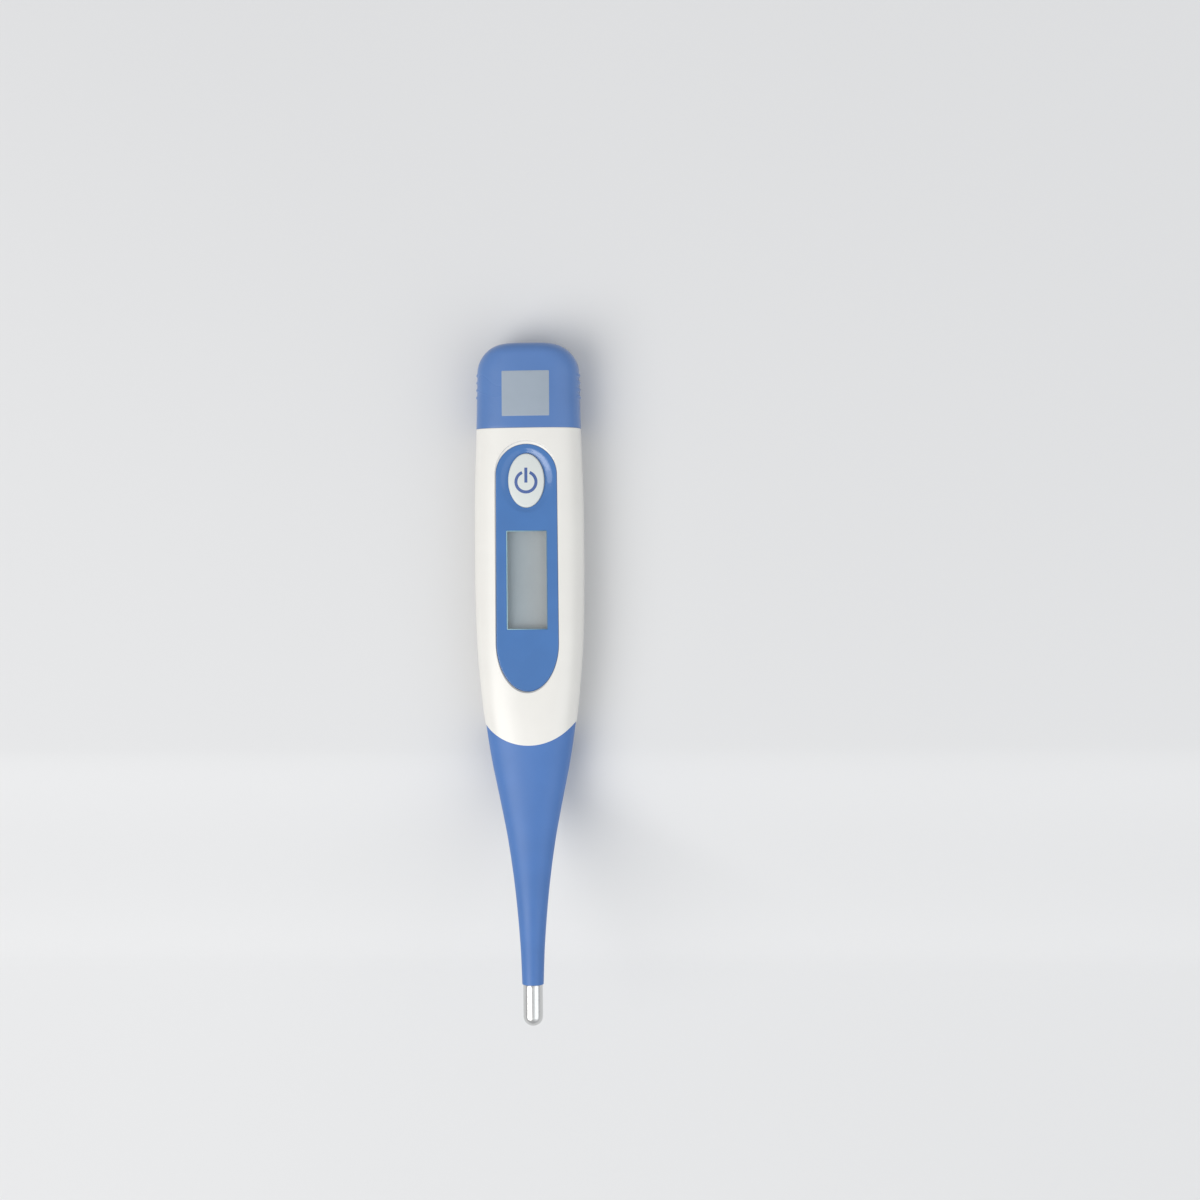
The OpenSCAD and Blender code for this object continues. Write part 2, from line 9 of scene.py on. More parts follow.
import bmesh
import bpy
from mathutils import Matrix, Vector


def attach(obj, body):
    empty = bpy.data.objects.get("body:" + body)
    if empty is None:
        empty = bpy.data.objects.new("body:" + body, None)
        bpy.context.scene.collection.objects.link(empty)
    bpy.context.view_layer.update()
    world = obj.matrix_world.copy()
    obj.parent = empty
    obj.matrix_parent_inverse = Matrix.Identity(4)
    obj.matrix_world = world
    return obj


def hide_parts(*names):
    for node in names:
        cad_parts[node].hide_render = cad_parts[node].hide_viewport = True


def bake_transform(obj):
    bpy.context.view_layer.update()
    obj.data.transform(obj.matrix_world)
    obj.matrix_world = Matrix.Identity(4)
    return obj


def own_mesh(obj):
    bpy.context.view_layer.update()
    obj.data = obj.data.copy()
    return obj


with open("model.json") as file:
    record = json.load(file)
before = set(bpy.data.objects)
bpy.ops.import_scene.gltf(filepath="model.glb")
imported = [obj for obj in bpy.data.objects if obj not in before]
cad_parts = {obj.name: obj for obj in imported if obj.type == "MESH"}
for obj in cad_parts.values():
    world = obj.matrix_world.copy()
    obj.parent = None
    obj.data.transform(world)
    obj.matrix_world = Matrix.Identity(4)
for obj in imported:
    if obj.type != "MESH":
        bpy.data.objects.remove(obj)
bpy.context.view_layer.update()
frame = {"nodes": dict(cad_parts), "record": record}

MM = 0.001
PI = math.pi

# ---------------------------------------------------------------- outline, as in the CAD source
TAIL, TIP = 70.0, -70.0
COVER = TAIL - 17.5
NOSE = COVER - 64.7
NECK_END = TIP + 8.5
HALF_T = 6.1
AXIS = 5.9
BODY_W = 22.4
# place along Y, half width, half thickness, and power of the section's superellipse
STATIONS = [
    (NECK_END, 2.35, 2.3, 2.0),
    (COVER - 105.5, 2.7, 2.55, 2.0),
    (COVER - 94.5, 3.65, 3.0, 2.0),
    (COVER - 84.5, 5.0, 3.55, 2.1),
    (COVER - 76.5, 6.5, 4.2, 2.2),
    (COVER - 68.5, 8.1, 4.95, 2.35),
    (COVER - 62.5, 9.05, HALF_T - 0.65, 2.5),
    (COVER - 55.5, 9.95, HALF_T - 0.25, 2.75),
    (COVER - 44.5, BODY_W / 2 - 0.35, HALF_T, 2.9),
    (COVER - 30.5, BODY_W / 2, HALF_T, 2.9),
    (COVER - 14.5, BODY_W / 2 - 0.05, HALF_T, 2.9),
    (COVER, BODY_W / 2 - 0.5, HALF_T - 0.1, 2.9),
    (TAIL, BODY_W / 2 - 0.9, HALF_T - 0.4, 2.9),
]
CORNER_R, EDGE_R = 6.0, 2.4
NOSE_R = 11.8
NOSE_C = NOSE + NOSE_R
NECK_STEP = 0.15
# the resting flat: where it starts, and how softly its edge turns, in square millimetres
FLAT_START, FLAT_SOFT = NOSE - 8, 0.0016
FIRST_BEND, BEND_PITCH, BENDS = NOSE - 11.8, 3.5, 10
HALVINGS = 48


def slope(k, c):
    """How fast column c of the stations changes at station k."""
    a, b = max(0, k - 1), min(len(STATIONS) - 1, k + 1)
    return (STATIONS[b][c] - STATIONS[a][c]) / (STATIONS[b][0] - STATIONS[a][0])


def along(y, c):
    """Column c of the stations at y, on a smooth curve through them."""
    k = 0
    while k < len(STATIONS) - 2 and y >= STATIONS[k + 1][0]:
        k += 1
    run = STATIONS[k + 1][0] - STATIONS[k][0]
    t = (y - STATIONS[k][0]) / run
    return ((2 * t**3 - 3 * t**2 + 1) * STATIONS[k][c] + (t**3 - 2 * t**2 + t) * run * slope(k, c)
            + (3 * t**2 - 2 * t**3) * STATIONS[k + 1][c] + (t**3 - t**2) * run * slope(k + 1, c))


def rounding(y, r):
    """How far a corner of radius r at the tail end pulls the outline in at y."""
    return r - math.sqrt(max(0.0, r * r - (y - TAIL + r) ** 2)) if y > TAIL - r else 0.0


def half_width(y):
    return min(BODY_W / 2, along(y, 1)) - rounding(y, CORNER_R)


def half_thickness(y):
    return min(HALF_T, along(y, 2)) - rounding(y, EDGE_R)


def surface(phi, y, d=0.0):
    """A point of the outline at section angle phi, d below the skin. The resting flat is soft-edged."""
    p = along(y, 3)
    c, s = math.cos(phi), math.sin(phi)
    rho = (abs(c) ** p + abs(s) ** p) ** (-1 / p)
    x = (half_width(y) - d) * c * rho
    z = AXIS + (half_thickness(y) - d) * s * rho
    if y > FLAT_START:
        z = 0.5 * (z + math.sqrt(z * z + FLAT_SOFT))
    return (x, y, z)


def crown(x, y):
    """Height of the upper skin over (x, y)."""
    p = along(y, 3)
    part = 1 - (abs(x) / half_width(y)) ** p
    return AXIS + half_thickness(y) * max(0.0, part) ** (1 / p)


def angle_at(x, y):
    """The section angle whose skin point lies at x on the upper side."""
    p = along(y, 3)
    share = min(1.0, abs(x) / half_width(y)) ** p
    phi = math.atan2((1 - share) ** (1 / p), share ** (1 / p))
    return phi if x >= 0 else PI - phi


def solve(f, low, high):
    """The place between low and high where f changes from positive to negative."""
    for _ in range(HALVINGS):
        mid = (low + high) / 2
        if f(mid) > 0:
            low = mid
        else:
            high = mid
    return (low + high) / 2


def nose_edge(phi, r=NOSE_R):
    """Where the front edge of the white housing crosses section angle phi."""
    return solve(lambda y: surface(phi, y)[0] ** 2 + (y - NOSE_C) ** 2 - r * r, NOSE_C - r, NOSE_C)


def spread(a, b, n, ends=True):
    """n even steps from a to b, without b itself where ends is False."""
    return [a + (b - a) * i / n for i in range(n + 1 if ends else n)]


# ---------------------------------------------------------------- mesh helpers
# points this close, in metres, are one point; the smallest radius of a lathe profile, in millimetres
SAME_PLACE, PINPOINT = 1e-8, 1e-4


def piece(name, verts, faces, material, sharp=None):
    """A mesh object in the row frame from points in millimetres, shaded smooth."""
    mesh = bpy.data.meshes.new(name)
    mesh.from_pydata([(x * MM, y * MM, z * MM) for x, y, z in verts], [], faces)
    mesh.materials.append(material)
    work = bmesh.new()
    work.from_mesh(mesh)
    bmesh.ops.remove_doubles(work, verts=work.verts, dist=SAME_PLACE)
    bmesh.ops.recalc_face_normals(work, faces=work.faces)
    work.to_mesh(mesh)
    work.free()
    mesh.shade_smooth()
    if sharp:
        mesh.set_sharp_from_angle(angle=math.radians(sharp))
    obj = bpy.data.objects.new(name, mesh)
    bpy.context.scene.collection.objects.link(obj)
    return obj


class Shell:
    """Collects loops of points into one mesh."""

    def __init__(self):
        self.verts, self.faces = [], []

    def loop(self, points):
        start = len(self.verts)
        self.verts += points
        return list(range(start, len(self.verts)))

    def bridge(self, a, b, closed=True):
        n = len(a)
        for i in range(n if closed else n - 1):
            j = (i + 1) % n
            self.faces.append((a[i], a[j], b[j], b[i]))

    def loops(self, rows, closed=True):
        made = [self.loop(r) for r in rows]
        for a, b in zip(made, made[1:]):
            self.bridge(a, b, closed)
        return made

    def fan(self, ring, point):
        c = len(self.verts)
        self.verts.append(point)
        n = len(ring)
        self.faces += [(ring[i], ring[(i + 1) % n], c) for i in range(n)]

    def fill(self, rings):
        """Flat triangles between an outer ring and the holes in it."""
        work = bmesh.new()
        made, edges = {}, []
        for ring in rings:
            for i in ring:
                made[i] = work.verts.new(self.verts[i])
        for ring in rings:
            edges += [work.edges.new((made[i], made[j])) for i, j in zip(ring, ring[1:] + ring[:1])]
        back = {v: i for i, v in made.items()}
        bmesh.ops.triangle_fill(work, edges=edges, use_beauty=True)
        self.faces += [tuple(back[v] for v in f.verts) for f in work.faces]
        work.free()

    def build(self, name, material, sharp=None):
        return piece(name, self.verts, self.faces, material, sharp)


def turned(name, profile, material, centre=(0, 0, 0), axis="Z", steps=72, sharp=35):
    """A lathe-turned piece: (radius, distance along the axis) pairs."""
    shell = Shell()
    rows = []
    for r, h in profile:
        r = max(r, PINPOINT)
        row = []
        for i in range(steps):
            a = 2 * PI * i / steps
            u, v = r * math.cos(a), r * math.sin(a)
            row.append((centre[0] + u, centre[1] + h, centre[2] + v) if axis == "Y"
                       else (centre[0] + u, centre[1] + v, centre[2] + h))
        rows.append(row)
    shell.loops(rows)
    return shell.build(name, material, sharp)


def arc(cx, cy, r, a0, a1, n):
    """Points on an arc, in degrees, for a lathe profile."""
    return [(cx + r * math.cos(math.radians(a)), cy + r * math.sin(math.radians(a)))
            for a in spread(a0, a1, n)]


# ---------------------------------------------------------------- materials
# scales of the noise in every moulded surface: colour clouding, uneven gloss
CLOUD_SCALE, WEAR_SCALE = 130.0, 90.0
ROUGH_VARY = 0.03
# height of the surface grain and how far light scatters in the elastomer, in metres
GRAIN_HEIGHT = 0.000006
SCATTER = (0.0012, 0.0014, 0.002)
# how far to each side of the middle, in metres, the painted glint on the window's edge and the painted shade
# on the display change
GLINT_SPAN, SHADE_SPAN = 0.0042, 0.0046


def nodes_for(name):
    """A new material, its tree, its shader and its coordinates."""
    mat = bpy.data.materials.new(name)
    mat.use_nodes = True
    tree = mat.node_tree
    tree.nodes.clear()
    out = tree.nodes.new("ShaderNodeOutputMaterial")
    shader = tree.nodes.new("ShaderNodeBsdfPrincipled")
    tree.links.new(shader.outputs[0], out.inputs[0])
    coords = tree.nodes.new("ShaderNodeTexCoord")
    return mat, tree, shader, coords


def noise(tree, coords, scale, detail=3.0, stretch=None):
    """Noise fixed to the object, stretched along its axes if asked."""
    n = tree.nodes.new("ShaderNodeTexNoise")
    n.inputs["Scale"].default_value = scale
    n.inputs["Detail"].default_value = detail
    source = coords.outputs["Object"]
    if stretch:
        mapping = tree.nodes.new("ShaderNodeMapping")
        mapping.inputs["Scale"].default_value = stretch
        tree.links.new(source, mapping.inputs["Vector"])
        source = mapping.outputs["Vector"]
    tree.links.new(source, n.inputs["Vector"])
    return n.outputs["Fac"]


def ramp(tree, value, low, high, at=(0.35, 0.65)):
    """A colour between low and high that follows value."""
    r = tree.nodes.new("ShaderNodeValToRGB")
    r.color_ramp.elements[0].position, r.color_ramp.elements[1].position = at
    r.color_ramp.elements[0].color = (*low, 1)
    r.color_ramp.elements[1].color = (*high, 1)
    tree.links.new(value, r.inputs["Fac"])
    return r.outputs["Color"]


def remap(tree, value, low, high):
    """A number between low and high that follows a noise value."""
    m = tree.nodes.new("ShaderNodeMapRange")
    m.inputs["From Min"].default_value, m.inputs["From Max"].default_value = 0.3, 0.7
    m.inputs["To Min"].default_value, m.inputs["To Max"].default_value = low, high
    tree.links.new(value, m.inputs["Value"])
    return m.outputs["Result"]


def bumped(tree, shader, value, strength, distance):
    """Lets value raise the surface by up to distance, in metres."""
    b = tree.nodes.new("ShaderNodeBump")
    b.inputs["Strength"].default_value = strength
    b.inputs["Distance"].default_value = distance
    tree.links.new(value, b.inputs["Height"])
    tree.links.new(b.outputs["Normal"], shader.inputs["Normal"])


def moulded(name, rgb, rough=0.35, vary=0.03, grain=0.3, coat=0.0, metal=0.0, grain_scale=1300.0,
            subsurface=0.0, stretch=None):
    """Moulded or turned material: slight colour clouding, uneven gloss and a fine surface grain."""
    mat, tree, shader, coords = nodes_for(name)
    cloud = noise(tree, coords, CLOUD_SCALE, 3.0)
    low = tuple(max(0.0, c * (1 - vary)) for c in rgb)
    high = tuple(min(1.0, c * (1 + vary)) for c in rgb)
    tree.links.new(ramp(tree, cloud, low, high), shader.inputs["Base Color"])
    wear = noise(tree, coords, WEAR_SCALE, 1.0, stretch)
    tree.links.new(remap(tree, wear, rough - ROUGH_VARY, rough + ROUGH_VARY), shader.inputs["Roughness"])
    fine = noise(tree, coords, grain_scale, 1.0, stretch)
    bumped(tree, shader, fine, grain, GRAIN_HEIGHT)
    shader.inputs["Metallic"].default_value = metal
    shader.inputs["Specular IOR Level"].default_value = 0.5
    shader.inputs["Coat Weight"].default_value = coat
    shader.inputs["Coat Roughness"].default_value = 0.04
    if subsurface:
        shader.inputs["Subsurface Weight"].default_value = subsurface
        shader.inputs["Subsurface Radius"].default_value = SCATTER
        shader.inputs["Subsurface Scale"].default_value = 1.0
    return mat


def see_through(name, rgb, alpha):
    """Clear glossy plastic, more solid where it is seen at a slant."""
    rough, slant = 0.05, 0.45
    mat, tree, shader, coords = nodes_for(name)
    cloud = noise(tree, coords, 200.0, 2.0)
    tree.links.new(ramp(tree, cloud, tuple(c * 0.97 for c in rgb), rgb), shader.inputs["Base Color"])
    tree.links.new(remap(tree, cloud, rough, rough + 0.02), shader.inputs["Roughness"])
    weight = tree.nodes.new("ShaderNodeLayerWeight")
    weight.inputs["Blend"].default_value = 0.35
    rise = tree.nodes.new("ShaderNodeMapRange")
    rise.inputs["To Min"].default_value = alpha
    rise.inputs["To Max"].default_value = min(1.0, alpha + slant)
    tree.links.new(weight.outputs["Facing"], rise.inputs["Value"])
    tree.links.new(rise.outputs["Result"], shader.inputs["Alpha"])
    shader.inputs["Specular IOR Level"].default_value = 0.9
    shader.inputs["Coat Weight"].default_value = 0.6
    shader.inputs["Coat Roughness"].default_value = 0.03
    return mat


def painted_glint_edge(name):
    """The window's edge with a painted glint: a painted highlight, pale aqua towards -X and dim towards +X.
    """
    mat, tree, shader, coords = nodes_for(name)
    split = tree.nodes.new("ShaderNodeSeparateXYZ")
    tree.links.new(coords.outputs["Object"], split.inputs[0])
    across = tree.nodes.new("ShaderNodeMapRange")
    across.inputs["From Min"].default_value, across.inputs["From Max"].default_value = -GLINT_SPAN, GLINT_SPAN
    tree.links.new(split.outputs["X"], across.inputs["Value"])
    # painted highlight: pale aqua at -X fading to dim blue at +X
    tree.links.new(ramp(tree, across.outputs["Result"], (0.40, 0.66, 0.74), (0.13, 0.27, 0.42), (0.05, 0.95)),
                   shader.inputs["Base Color"])
    fine = noise(tree, coords, 600.0, 2.0)
    tree.links.new(remap(tree, fine, 0.1, 0.16), shader.inputs["Roughness"])
    shader.inputs["Alpha"].default_value = 0.8
    return mat


def lcd_painted_shade_face(name):
    """Grey polarizer with a painted shade, a little bluer and darker towards -X, and a very faint film grain
    along Y.
    """
    mat, tree, shader, coords = nodes_for(name)
    split = tree.nodes.new("ShaderNodeSeparateXYZ")
    tree.links.new(coords.outputs["Object"], split.inputs[0])
    across = tree.nodes.new("ShaderNodeMapRange")
    across.inputs["From Min"].default_value, across.inputs["From Max"].default_value = -SHADE_SPAN, SHADE_SPAN
    tree.links.new(split.outputs["X"], across.inputs["Value"])
    # painted shade: bluer and darker at -X, paler grey from the middle on
    base = ramp(tree, across.outputs["Result"], (0.36, 0.46, 0.53), (0.50, 0.535, 0.545), (0.0, 0.75))
    grain = noise(tree, coords, 900.0, 2.0, (1.0, 0.25, 1.0))
    mix = tree.nodes.new("ShaderNodeMix")
    mix.data_type, mix.blend_type = "RGBA", "MULTIPLY"
    mix.inputs["Factor"].default_value = 1.0
    tree.links.new(base, mix.inputs["A"])
    tree.links.new(ramp(tree, grain, (0.97, 0.97, 0.97), (1.0, 1.0, 1.0)), mix.inputs["B"])
    tree.links.new(mix.outputs["Result"], shader.inputs["Base Color"])
    tree.links.new(remap(tree, grain, 0.32, 0.4), shader.inputs["Roughness"])
    return mat


def board_face(name):
    """Solder mask with paler copper runs under it."""
    mat, tree, shader, coords = nodes_for(name)
    brick = tree.nodes.new("ShaderNodeTexBrick")
    brick.inputs["Scale"].default_value = 900.0
    brick.inputs["Mortar Size"].default_value = 0.05
    brick.inputs["Color1"].default_value = (0.018, 0.12, 0.055, 1)
    brick.inputs["Color2"].default_value = (0.022, 0.14, 0.065, 1)
    brick.inputs["Mortar"].default_value = (0.05, 0.22, 0.11, 1)
    tree.links.new(coords.outputs["Object"], brick.inputs["Vector"])
    tree.links.new(brick.outputs["Color"], shader.inputs["Base Color"])
    fine = noise(tree, coords, 3000.0)
    tree.links.new(remap(tree, fine, 0.3, 0.42), shader.inputs["Roughness"])
    bumped(tree, shader, brick.outputs["Fac"], 0.2, 0.00002)
    return mat


# one material for each of the record's material slots, and one for the window's edge with its painted glint;
# colours are linear
M = {
    "white_shell": moulded("white_shell", (0.80, 0.785, 0.745), 0.33, 0.012, 0.3, coat=0.15),
    "blue_panel": moulded("blue_panel", (0.052, 0.170, 0.440), 0.2, 0.03, 0.1, coat=0.8),
    "clear_window": see_through("clear_window", (0.54, 0.58, 0.595), 0.15),
    # the window's edge: a painted glint, pale aqua towards -X
    "window_edge_glint": painted_glint_edge("window_edge_glint"),
    "adhesive": moulded("adhesive", (0.85, 0.85, 0.82), 0.5),
    # the display's grey face, with a painted shade towards -X
    "lcd_grey": lcd_painted_shade_face("lcd_grey"),
    "lcd_glass": moulded("lcd_glass", (0.34, 0.40, 0.39), 0.12, 0.05),
    "reflector": moulded("reflector", (0.66, 0.68, 0.67), 0.4, metal=0.9),
    "zebra_rubber": moulded("zebra_rubber", (0.65, 0.30, 0.32), 0.6, 0.12, 0.2, grain_scale=2500.0),
    "carrier_plastic": moulded("carrier_plastic", (0.80, 0.78, 0.72), 0.45, 0.03, 0.08),
    "board_green": board_face("board_green"),
    "black_resin": moulded("black_resin", (0.012, 0.012, 0.014), 0.3, 0.2, 0.1),
    "component_tan": moulded("component_tan", (0.42, 0.26, 0.13), 0.5, 0.1),
    "solder": moulded("solder", (0.62, 0.63, 0.64), 0.25, 0.08, 0.2, metal=1.0),
    "spring_steel": moulded("spring_steel", (0.60, 0.61, 0.62), 0.28, 0.04, 0.1, metal=1.0),
    "gasket_rubber": moulded("gasket_rubber", (0.62, 0.63, 0.62), 0.6, 0.04, 0.15),
    "button_grey": moulded("button_grey", (0.665, 0.70, 0.685), 0.38, 0.015, 0.06, coat=0.1),
    "icon_blue": moulded("icon_blue", (0.066, 0.124, 0.340), 0.4, 0.05, 0.05),
    "buzzer_brass": moulded("buzzer_brass", (0.60, 0.42, 0.14), 0.3, 0.08, 0.1, metal=1.0),
    "buzzer_ceramic": moulded("buzzer_ceramic", (0.78, 0.75, 0.68), 0.5, 0.05),
    "seal_rubber": moulded("seal_rubber", (0.02, 0.02, 0.022), 0.5, 0.1, 0.2),
    "contact_metal": moulded("contact_metal", (0.66, 0.60, 0.46), 0.27, 0.06, 0.1, metal=1.0),
    "cell_steel": moulded("cell_steel", (0.62, 0.62, 0.61), 0.2, 0.04, 0.08, metal=1.0, stretch=(1, 1, 6)),
    "cell_seal": moulded("cell_seal", (0.09, 0.12, 0.16), 0.5, 0.05),
    "blue_cover": moulded("blue_cover", (0.092, 0.198, 0.460), 0.3, 0.03, 0.3, coat=0.15),
    "pale_label": moulded("pale_label", (0.322, 0.378, 0.445), 0.5, 0.03, 0.12),
    "blue_neck": moulded("blue_neck", (0.065, 0.176, 0.460), 0.47, 0.03, 0.35, subsurface=0.04),
    "probe_steel": moulded("probe_steel", (0.66, 0.66, 0.655), 0.26, 0.02, 0.1, metal=1.0),
    "wire_red": moulded("wire_red", (0.48, 0.06, 0.025), 0.45, 0.06),
}


def place(obj, body, slot, *nodes):
    """Rides obj on a body, in place of those CAD nodes."""
    if nodes:
        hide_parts(*nodes)
    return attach(obj, body)


# ---------------------------------------------------------------- panel outline
PANEL_TOP, PANEL_LOW = COVER - 3.3, COVER - 53.7
TOP_R, LOW_HW, LOW_L = 6.25, 6.4, 9.9
TOP_C, LOW_C = PANEL_TOP - TOP_R, PANEL_LOW + LOW_L
PANEL_Z, PANEL_BASE = 11.3, 9.9
SIDE_N, TOP_N, NOSE_N = 70, 56, 64


def panel_outline(more):
    """The panel's outline grown by more, from its lower right corner, anticlockwise."""
    r, w, l = TOP_R + more, LOW_HW + more, LOW_L + more
    out = [(w + (r - w) * t, LOW_C + (TOP_C - LOW_C) * t) for t in spread(0, 1, SIDE_N, False)]
    out += [(r * math.cos(a), TOP_C + r * math.sin(a)) for a in spread(0, PI, TOP_N, False)]
    out += [(-r + (r - w) * t, TOP_C + (LOW_C - TOP_C) * t) for t in spread(0, 1, SIDE_N, False)]
    out += [(w * math.cos(a), LOW_C + l * math.sin(a)) for a in spread(PI, 2 * PI, NOSE_N, False)]
    return out


# ---------------------------------------------------------------- white housing
FILLET = 0.08
WALL = 1.9
FILLET_STEPS = [FILLET * t for t in (1.0, 0.7, 0.42, 0.21, 0.07, 0.0)]
# where along the body the back shell takes the angle of its side seam
SEAM_Y = 20.0


def sink(s):
    """How far the fillet lowers the skin at distance s from an edge."""
    return FILLET - math.sqrt(max(0.0, FILLET**2 - (FILLET - s) ** 2)) if s < FILLET else 0.0


def seam_angle(y, s):
    """The section angle at height s above the seam between the two shells."""
    return math.asin(min(1.0, s / half_thickness(y)))


def front_edge_loop(s):
    """The edge of the front shell's skin, s inside it, as (angle, y) pairs matched to panel_outline."""
    right = seam_angle(0.0, s)
    low_right, low_left = nose_edge(right, NOSE_R - s), nose_edge(PI - right, NOSE_R - s)
    top = COVER - s
    out = [(seam_angle(y, s), y) for y in spread(low_right, top, SIDE_N, False)]
    a0 = seam_angle(top, s)
    out += [(a, top) for a in spread(a0, PI - a0, TOP_N, False)]
    out += [(PI - seam_angle(y, s), y) for y in spread(top, low_left, SIDE_N, False)]
    out += [(a, nose_edge(a, NOSE_R - s)) for a in spread(PI - right, right, NOSE_N, False)]
    return out


# the recess round the panel: a shallow ledge, then a short steep wall, as shares of its width and height
LEDGE = [(0.15, -0.04), (0.45, 0.08), (0.7, 0.2), (0.8, 0.32), (0.88, 0.55), (0.95, 0.85)]
# the ledge's height per millimetre of width at the panel's top end, and how much more it has at its low end
RISE_TOP, RISE_MORE = 0.9, 1.0
# the recess's wall beside the panel: gap and height, from below up, then the gap where the ledge starts
RECESS_WALL = [(0.025, PANEL_BASE + 0.3), (0.025, PANEL_Z - 0.12), (0.045, PANEL_Z - 0.07)]
GAP_LEDGE = 0.05
# the recess's upper edge: how far outside the recess, and how deep under the skin
LIP = [(0.012, 0.016), (0.06, 0.002)]
LIP_END = 0.14
# shares of the way from the recess to the shell's edge, closer together at both ends
SKIN_STEPS = [0.0, 0.03, 0.07, 0.12, 0.18, 0.24, 0.31, 0.38, 0.45, 0.52, 0.59, 0.66,
              0.73, 0.80, 0.86, 0.91, 0.95, 0.98]
panel_edge = panel_outline(0.0)
panel_grown = panel_outline(1.0)
COUNT = len(panel_edge)


def ledge_rise(i):
    """Height that the recess gains over each millimetre of its width: more towards the low end."""
    t = (TOP_C - panel_edge[i][1]) / (TOP_C - LOW_C)
    return RISE_TOP + RISE_MORE * min(1.0, max(0.0, t))


def outline_point(i, m):
    """Point i of the panel's outline, grown by m."""
    (x0, y0), (x1, y1) = panel_edge[i], panel_grown[i]
    return (x0 + (x1 - x0) * m, y0 + (y1 - y0) * m)


def opening_margin(i):
    """How far outside the panel the housing's recess meets the skin."""
    return solve(lambda m: crown(*outline_point(i, m)) - PANEL_Z - ledge_rise(i) * m, 0.0, 2.0)


margins = [opening_margin(i) for i in range(COUNT)]


def front_shell():
    shell = Shell()

    def on_skin(i, more, drop):
        x, y = outline_point(i, margins[i] + more)
        return (x, y, crown(x, y) - drop)

    rows = [[(*outline_point(i, gap), z) for i in range(COUNT)] for gap, z in RECESS_WALL]
    for across, up in LEDGE:
        rows.append([(*outline_point(i, GAP_LEDGE + (m - GAP_LEDGE) * across),
                      PANEL_Z + ledge_rise(i) * m * up) for i, m in enumerate(margins)])
    for more, drop in LIP:
        rows.append([on_skin(i, more, drop) for i in range(COUNT)])
    inner = []
    for i in range(COUNT):
        x, y = outline_point(i, margins[i] + LIP_END)
        inner.append((angle_at(x, y), y))
    outer = front_edge_loop(FILLET)
    for t in SKIN_STEPS:
        rows.append([surface(a + (b - a) * t, y + (v - y) * t) for (a, y), (b, v) in zip(inner, outer)])
    for s in FILLET_STEPS:
        rows.append([surface(a, y, sink(s)) for a, y in front_edge_loop(s)])
    rows.append([surface(a, y, WALL) for a, y in front_edge_loop(0.0)])
    shell.loops(rows)
    return shell.build("shell_front", M["white_shell"], 60)


def back_shell():
    shell = Shell()
    # each step across an edge: how far inside it, and how deep under the skin
    edge = [(0.0, WALL)] + [(s, sink(s)) for s in reversed(FILLET_STEPS)]
    last = seam_angle(SEAM_Y, FILLET)
    columns = [(PI + seam_angle(SEAM_Y, s), d) for s, d in edge]
    columns += [(PI + last + (PI - 2 * last) * t, 0.0) for t in spread(0, 1, 72)[1:-1]]
    columns += [(2 * PI - seam_angle(SEAM_Y, s), d) for s, d in reversed(edge)]
    rows = [[surface(a, nose_edge(a, NOSE_R - s), max(d, e)) for a, e in columns] for s, d in edge]
    for t in spread(0, 1, 90)[1:-1]:
        row = []
        for a, e in columns:
            low = nose_edge(a, NOSE_R - FILLET)
            row.append(surface(a, low + (COVER - FILLET - low) * t, e))
        rows.append(row)
    rows += [[surface(a, COVER - s, max(d, e)) for a, e in columns] for s, d in reversed(edge)]
    shell.loops(rows, closed=False)
    return shell.build("shell_back", M["white_shell"], 60)


place(front_shell(), "housing", "white_shell", "front_shell")
place(back_shell(), "housing", "white_shell", "back_shell")


# ---------------------------------------------------------------- display panel, window and display
WINDOW_Y = COVER - 31
WINDOW_W, WINDOW_L = 8.4, 20.2
KEY_Y = COVER - 10.75
KEY_HW, KEY_HL = 3.7, 5.5
KEY_TOP = PANEL_Z + 0.5
OVAL_N = 96
# a shallow dish in the panel round the key
DISH, DISH_HW, DISH_HL = 0.28, 5.75, 6.72
# rounded edges of the panel: its rim, the window's hole and the key's hole
RIM_R, HOLE_R, KEY_HOLE_R = 0.22, 0.03, 0.07
HOLE_CORNER = 0.22
# how far in from the rim its flat rings lie, underneath and on top, and how far out from the window's hole
UNDER_IN, RIM_FLAT, HOLE_FLAT = 0.3, 0.12, 0.1
KEY_GAP = 0.035
# the window: gap round it, how far it sits under the panel, and its corner
PANE_GAP, PANE_SUNK, PANE_CORNER = 0.015, 0.02, 0.2
# the window's edge, which carries a painted glint: its width, and how far under its top the clear pane has
# one more ring
EDGE_W, EDGE_LIP = 0.16, 0.05


def rounded_rectangle(hw, hl, r, yc, n=10, sides=1):
    """Anticlockwise points: n steps round each corner and so many along each side."""
    out = []
    for cx, cy, a in ((1, 1, 0), (-1, 1, 90), (-1, -1, 180), (1, -1, 270)):
        corner = [(cx * (hw - r) + r * math.cos(math.radians(a + t)),
                   yc + cy * (hl - r) + r * math.sin(math.radians(a + t))) for t in spread(0, 90, n)]
        if out:
            (x0, y0), (x1, y1) = out[-1], corner[0]
            out += [(x0 + (x1 - x0) * k / sides, y0 + (y1 - y0) * k / sides) for k in range(1, sides)]
        out += corner
    (x0, y0), (x1, y1) = out[-1], out[0]
    out += [(x0 + (x1 - x0) * k / sides, y0 + (y1 - y0) * k / sides) for k in range(1, sides)]
    return out


def oval(hw, hl):
    """The key's oval with those half axes."""
    return [(hw * math.cos(a), KEY_Y + hl * math.sin(a)) for a in spread(0, 2 * PI, OVAL_N, False)]


def at(points, z):
    """Flat points lifted to height z."""
    return [(x, y, z) for x, y in points]


